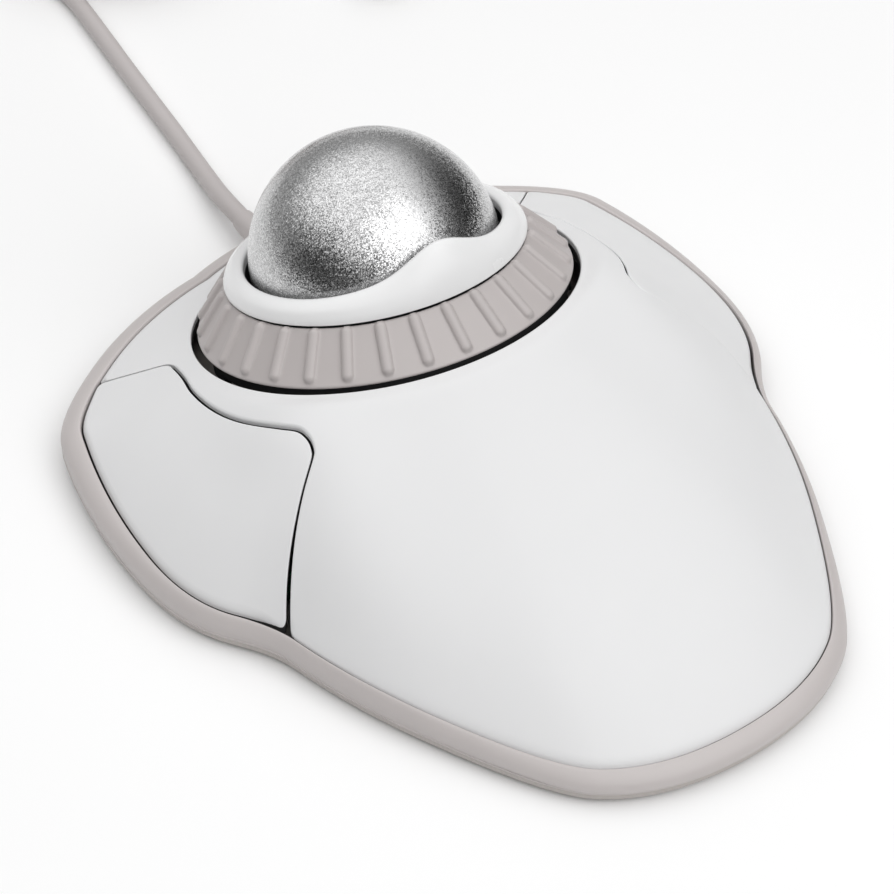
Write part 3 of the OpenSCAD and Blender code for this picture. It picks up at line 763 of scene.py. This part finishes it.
full = round_corners(full, 0.9)
ang = np.linspace(0, 360, 420, endpoint=False)
re_ = open_rho(ang) + 0.2 + 0.2 * np.exp(-((np.abs((ang + 180) % 360 - 180) - 85) / 38) ** 2)
hole = np.stack([re_ * np.sin(np.radians(ang)), OPEN_Y - re_ * np.cos(np.radians(ang))], 1)


def palm_top(p):
    return skin(p)[0]


# the shell's edge walls next to the rim seam are painted shade over their whole height; its other edge walls only below
# the top wall row
shell = panel("upper_case", [full, hole], [cut_radius(full, 1.1, 0.3), np.full(len(hole), 0.4)], palm_top, "white", "base",
              thick=2.2, floor=lambda q: seam_z(q[:, 1]) - 1.2, flat=[cut_radius(full, 0.5, 1.0), np.ones(len(hole))],
              dark=lambda q: nearest(q, edge_d)[0] < 0.3)[0]
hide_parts("top_shell")

tB = unit(np.gradient(B, axis=0))
gap_c = 0.4 + 0.12 * smooth01((B[:, 1] - 7) / 8) - 0.28 * smooth01((B[:, 1] - 37) / 3) + 0.25 * smooth01((-3 - B[:, 1]) / 7)
C = B + gap_c[:, None] * np.stack([-tB[:, 1], tB[:, 0]], 1)
gap_o = 0.32 + 0.14 * smooth01((20 - seam_d[:, 1]) / 34)
D = inset(seam_d, gap_o)
D_c = np.vstack([D, D[:1]])
h2 = cross_lines(C, D_c)
(ia2, ja2, pa2), (ib2, jb2, pb2) = h2[0], h2[-1]
key_line = np.vstack([pa2, C[ia2 + 1:ib2 + 1], pb2, D[jb2 + 1:ja2 + 1]])
key_line = resample(key_line, 0.4, closed=True)
key_line = round_corners(key_line, 1.3)


def key_top(p):
    z, phi, s = skin(p)
    return z - step_at(phi, s) * (1 - 0.55 * smooth01((p[:, 1] - 7) / 8))


def key_radius(p):
    d_b, _ = nearest(p, C)
    w = smooth01((d_b - 0.3) / 5)
    rear = smooth01((p[:, 1] - 36) / 4)
    return (0.34 * (1 - rear) + 0.22 * rear) * (1 - w) + 0.8 * w


# all edge walls of the button caps are painted shade, so the gaps around the buttons read black
keys = panel("cap", [key_line], [key_radius(key_line)], key_top, "white_key", "key", thick=1.8, both=True, grid=1.0)
for o, n in zip(keys, ("right_button", "left_button")):
    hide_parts(n)

# -------------------------------------------------------------------- rim
seam_m = loop(SEAM, 4)
rim_m = inset(seam_m, -rim_w(seam_m[:, 1]))
NM = len(seam_m)
W = np.linalg.norm(rim_m - seam_m, axis=1)
prof = [(0.0, -0.5), (0.015, -0.32), (0.04, -0.08), (0.075, 0.0), (0.16, -0.05), (0.27, -0.16), (0.4, -0.34), (0.58, -0.68), (0.75, -1.08),
        (0.87, -1.46), (0.95, -1.86), (0.985, -2.2), (1.0, -2.55)]
rows = []
zt = seam_z(seam_m[:, 1])
for f, dz in prof:
    q = seam_m + (rim_m - seam_m) * f
    rows.append(np.column_stack([q, zt + dz]))
bot_in = rim_m + (inset(rim_m, np.full(NM, 0.16)) - rim_m)
for t in (0.25, 0.5, 0.75, 1.0):
    q = rim_m * (1 - t) + bot_in * t
    rows.append(np.column_stack([q, (zt - 2.55) * (1 - t) + 2.78 * t]))
rows.append(np.column_stack([inset(rim_m, np.full(NM, 0.03)), np.full(NM, 2.70)]))
rows.append(np.column_stack([inset(rim_m, np.full(NM, 0.03)), np.full(NM, 2.62)]))
rows.append(np.column_stack([inset(rim_m, np.full(NM, 0.1)), np.full(NM, 2.42)]))
rows.append(np.column_stack([inset(rim_m, np.full(NM, 0.21)), np.full(NM, 2.26)]))
rows.append(np.column_stack([inset(rim_m, np.full(NM, 0.32)), np.full(NM, 2.19)]))
rows.append(np.column_stack([inset(rim_m, np.full(NM, 0.5)), np.full(NM, 2.17)]))
inner = inset(seam_m, np.full(NM, 2.0))
a_ = np.abs(polar(seam_m)[0])
land = 3.6 * smooth01((a_ - 45.5) / 2.5) * smooth01((116.5 - a_) / 2)
rows.append(np.column_stack([inner, np.full(NM, 2.17)]))
rows.append(np.column_stack([inner, zt - 1.4 - land]))
rows.append(np.column_stack([inset(seam_m, np.full(NM, 0.02)), zt - 1.4 - land]))
G = np.stack(rows, 1)
m_ = G.shape[1]
rim = mesh_object("rim", G.reshape(-1, 3), grid_faces(NM, m_, True, True), "taupe", "base", sharp=50)
# hole for the strain relief
cutter = bpy.data.meshes.new("rim_cutter")
bm = bmesh.new()
bmesh.ops.create_cone(bm, cap_ends=True, segments=64, radius1=2.7 * MM, radius2=2.7 * MM, depth=24 * MM,
                      matrix=Matrix.Translation((0, 0.064, 0.0042)) @ Matrix.Rotation(rad(90), 4, "X"))
bm.to_mesh(cutter)
bm.free()
co = bpy.data.objects.new("rim_cutter", cutter)
bpy.context.scene.collection.objects.link(co)


def apply_boolean(obj, tool, op="DIFFERENCE"):
    md = obj.modifiers.new("cut", "BOOLEAN")
    md.object = tool
    md.operation = op
    md.solver = "EXACT"
    bpy.context.view_layer.update()
    dg = bpy.context.evaluated_depsgraph_get()
    me = bpy.data.meshes.new_from_object(obj.evaluated_get(dg))
    obj.modifiers.clear()
    old = obj.data
    obj.data = me
    bpy.data.meshes.remove(old)
    return obj


apply_boolean(rim, co)
rim.data.polygons.foreach_set("use_smooth", [True] * len(rim.data.polygons))
rim.data.set_sharp_from_angle(angle=rad(50))
bpy.data.objects.remove(co)
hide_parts("rim_band")

# ------------------------------------------------ ball, ring and collar
RX = Matrix.Rotation(-TILT, 3, "X")


def at_ball(p):
    p = np.asarray(p, float)
    r = np.array(RX)
    return p @ r.T + BALL


def lathe(rows_rz, n, place=lambda p: p, closed=True):
    """rows_rz: list of (radius, height) or functions of the angle (degrees from the front) giving them"""
    out = []
    for i in range(n):
        a = 360.0 * i / n
        d = (sin(rad(a)), -cos(rad(a)))
        pr = rows_rz(a) if callable(rows_rz) else rows_rz
        for r, z in pr:
            out.append((d[0] * r, d[1] * r, z))
    return place(np.array(out))


ball_me = bpy.data.meshes.new("ball_surface")
bm = bmesh.new()
bmesh.ops.create_uvsphere(bm, u_segments=160, v_segments=96, radius=20 * MM, matrix=Matrix.Translation(tuple(BALL * MM)))
bm.to_mesh(ball_me)
bm.free()
ball = bpy.data.objects.new("ball_surface", ball_me)
bpy.context.scene.collection.objects.link(ball)
ball_me.materials.append(MATS["ball"])
ball_me.polygons.foreach_set("use_smooth", [True] * len(ball_me.polygons))
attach(ball, "ball")
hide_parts("trackball")


def crest(a):
    a = a - 360 if a > 180 else a
    return 3.0 * math.exp(-(a / 18) ** 2) + 2.4 * math.exp(-(a / 42) ** 2)


def collar_profile(a):
    h = crest(a)
    top = [[24.32, 0.12], [24.32, 0.5], [24.15, 1 + 0.2 * h], [23.6, 1.9 + 0.45 * h], [22.7, 2.5 + 0.75 * h], [21.8, 2.75 + 0.95 * h],
           [21.1, 2.65 + h], [20.75, 2.3 + h], [20.7, 1.7 + 0.6 * h], [20.7, 1.4]]
    t = catmull(top, 4)
    return [(24.1, 0.02)] + [tuple(p) for p in t] + [(20.7, 1.05), (22.65, 1.05), (22.65, 0.02)]


n_c = 240
cv = lathe(collar_profile, n_c, at_ball)
m_c = len(collar_profile(0))
collar = mesh_object("collar_ring", cv, grid_faces(n_c, m_c, True, True, flip=False), "white_collar", "base", sharp=50)
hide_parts("collar")

# ribbed grip
K = 6.0 / 7.0
ALPHA = math.atan(K)
r_seg = [0.0, 0.25, 0.42, 0.55, 0.65, 0.74, 0.82, 0.89, 0.95, 1.02, 1.15, 1.4, 1.75, 2.1, 2.45]
pitch_u = 5.7
base_rows = [(23.35, -0.9), (23.75, -0.9), (23.88, -0.8), (23.96, -0.5), (24.06, -0.4), (24.18, -0.42)]
wv = list(np.linspace(-0.5, -2.0, 9)) + list(np.linspace(-2.4, -5.4, 9)) + list(np.linspace(-5.7, -6.98, 9))
base_rows += [(24.2 + (-w - 0.3) * 6.0 / 6.7, w) for w in wv]
base_rows += [(30.24, -7.1), (30.27, -7.22), (30.24, -7.36), (30.14, -7.46), (29.95, -7.5), (29.3, -7.5)]
inner_rows = [(29.25, -7.22), (23.35, -1.1)]
n_rib = 30
angs = []
for i in range(n_rib):
    c = (i + 0.5) * 12.0
    us = sorted([-x for x in r_seg[1:]] + r_seg)
    for u in us:
        angs.append((c, u))
NA = len(angs)
V = []
tn = np.array([cos(ALPHA), sin(ALPHA)])      # outward normal of the cone in (r, w)
for c, u in angs:
    for (r, w) in base_rows + inner_rows:
        frac = u / (pitch_u / 2)
        a = c + frac * 6.0 * (1.0 if abs(frac) < 1 else 1.0)
        uu = rad(abs(a - c)) * r            # distance from the rib's middle line
        v0, v1 = -1.05, -5.95
        dv = 0.0
        if w > v0:
            dv = (w - v0) / cos(ALPHA)
        elif w < v1:
            dv = (v1 - w) / cos(ALPHA)
        d = math.hypot(uu, dv) / 0.92
        h = 0.86 * (1 - d ** 2.3) ** 0.62 if d < 1 and (r, w) not in inner_rows else 0.0
        soft = 0.10 * math.exp(-((d - 1.0) / 0.22) ** 2) if (r, w) not in inner_rows and -7.0 < w < -0.35 else 0.0
        rr_, ww_ = r + tn[0] * (h + soft), w + tn[1] * (h + soft)
        t = rad(a - 90)
        V.append((rr_ * cos(t), rr_ * sin(t), ww_))
grip = mesh_object("ring_ribs", at_ball(np.array(V)), grid_faces(NA, len(base_rows + inner_rows), True, True, flip=True), "taupe_ring", "ring",
                   sharp=60)
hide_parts("ring_grip")

# --------------------------------------------------- materials on CAD nodes
for n, mname in {"bottom_cover": "cover", "ball_socket": "socket", "support_bearings": "ceramic", "main_board": "board",
                 "controller_chips": "dark", "board_parts": "tin", "cable_header": "cream", "header_plug": "cream",
                 "inner_cable": "cable", "ball_sensor_board": "board", "ball_sensor_chip": "dark", "ball_sensor_lens": "lens",
                 "sensor_light": "lamp", "ring_sensor": "dark", "ring_sensor_board": "board", "left_switch": "dark",
                 "right_switch": "dark", "button_pins": "steel", "case_screws": "steel", "socket_screws": "steel",
                 "board_screws": "steel", "rubber_feet": "foot", "strain_relief": "cable", "scroll_ring": "ring_core",
                 "left_lever": "lever", "right_lever": "lever", "left_plunger": "red", "right_plunger": "red",
                 "coil_tie": "tie", "plug_grip": "taupe", "plug_shell": "plug_metal", "plug_tongue": "cream"}.items():
    o = NODES[n]
    o.data.materials.clear()
    o.data.materials.append(MATS[mname])



def soften(name, w, mname, ang=30, seg=3):
    """a detailed piece in place of a CAD node, with its sharp edges rounded by w millimetres"""
    node = NODES[name]
    me = node.data.copy()
    b = bmesh.new()
    b.from_mesh(me)
    bmesh.ops.remove_doubles(b, verts=b.verts, dist=1e-6)
    bmesh.ops.dissolve_limit(b, angle_limit=rad(2), verts=b.verts, edges=b.edges)
    es = [e for e in b.edges if len(e.link_faces) == 2 and e.calc_face_angle(0) > rad(ang)]
    bmesh.ops.bevel(b, geom=es, offset=w * MM, segments=seg, profile=0.5, affect="EDGES", clamp_overlap=True)
    b.to_mesh(me)
    b.free()
    me.materials.clear()
    me.materials.append(MATS[mname])
    me.polygons.foreach_set("use_smooth", [True] * len(me.polygons))
    me.set_sharp_from_angle(angle=rad(35))
    o = bpy.data.objects.new(name + "_rounded", me)
    bpy.context.scene.collection.objects.link(o)
    o.matrix_world = node.matrix_world.copy()
    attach(o, "base")
    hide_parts(name)
    return o


grip_o, shell_o, tie_o = soften("plug_grip", 0.9, "taupe"), soften("plug_shell", 0.12, "plug_metal"), soften("coil_tie", 0.25, "tie")
soften("rubber_feet", 0.25, "foot")

# ------------------------------------------------------------ floor, light
SKY, REAR, SIDE = 1.22, 0.32, 0.015
fl = bpy.data.meshes.new("floor")
# a plain pale sheet on a dark table: past its edges the glossy ball has something dark to mirror
fl.from_pydata([(-0.27, -0.25, 0), (0.27, -0.25, 0), (0.27, 0.4, 0), (-0.27, 0.4, 0)], [], [(0, 1, 2, 3)])
floor = bpy.data.objects.new("floor", fl)
bpy.context.scene.collection.objects.link(floor)
mf = Mat("floor_paper")
mf.set(Base_Color=mf.mix(mf.noise(6), c3(0.93, 0.93, 0.93), c3(0.95, 0.95, 0.95)), Roughness=0.9)
mf.b.inputs["Specular IOR Level"].default_value = 0.1
fl.materials.append(mf.m)

world = bpy.data.worlds.new("world")
bpy.context.scene.world = world
world.use_nodes = True
wt = world.node_tree


def wnode(kind, **k):
    n = wt.nodes.new(kind)
    for a, v in k.items():
        setattr(n, a, v)
    return n


def wmap(v, a, b, c, d):
    n = wnode("ShaderNodeMapRange", interpolation_type="SMOOTHSTEP")
    wt.links.new(v, n.inputs["Value"])
    for k, x in zip(("From Min", "From Max", "To Min", "To Max"), (a, b, c, d)):
        n.inputs[k].default_value = x
    return n.outputs[0]


def wmath(op, a, b):
    n = wnode("ShaderNodeMath", operation=op)
    for i, x in enumerate((a, b)):
        if isinstance(x, bpy.types.NodeSocket):
            wt.links.new(x, n.inputs[i])
        else:
            n.inputs[i].default_value = x
    return n.outputs[0]


# a studio: bright ceiling and rear wall, dark walls at the sides
wc = wnode("ShaderNodeTexCoord")
ws = wnode("ShaderNodeSeparateXYZ")
wt.links.new(wc.outputs["Generated"], ws.inputs[0])
tunnel = wmap(wmath("ABSOLUTE", ws.outputs[0], 0.0), 0.5, 0.95, 1.0, 0.04)
sky = wmath("MULTIPLY", wmath("MULTIPLY", wmap(ws.outputs[2], 0.2, 0.78, 0.0, SKY), tunnel), wmap(ws.outputs[1], -0.7, 0.7, 0.9, 1.06))
rear = wmath("MULTIPLY", wmap(ws.outputs[1], 0.1, 0.85, 0.0, REAR), wmap(ws.outputs[2], 0.1, 0.8, 1.0, 0.0))
total = wmath("ADD", wmath("ADD", sky, rear), SIDE)
wt.links.new(total, wt.nodes["Background"].inputs["Strength"])
wt.nodes["Background"].inputs["Color"].default_value = (1, 1, 1, 1)


def area(name, loc, target, size, power, size_y=None, col=(1, 1, 1)):
    d = bpy.data.lights.new(name, "AREA")
    d.shape = "RECTANGLE"
    d.size = size
    d.size_y = size_y or size
    d.energy = power
    d.color = col
    o = bpy.data.objects.new(name, d)
    bpy.context.scene.collection.objects.link(o)
    o.location = loc
    v = Vector(target) - Vector(loc)
    o.rotation_euler = v.to_track_quat("-Z", "Y").to_euler()
    return o


area("key", (0.16, -0.62, 0.78), (0, 0, 0.02), 0.85, 3.1)

sc = bpy.context.scene
sc.view_settings.view_transform = "Standard"
sc.view_settings.look = "None"

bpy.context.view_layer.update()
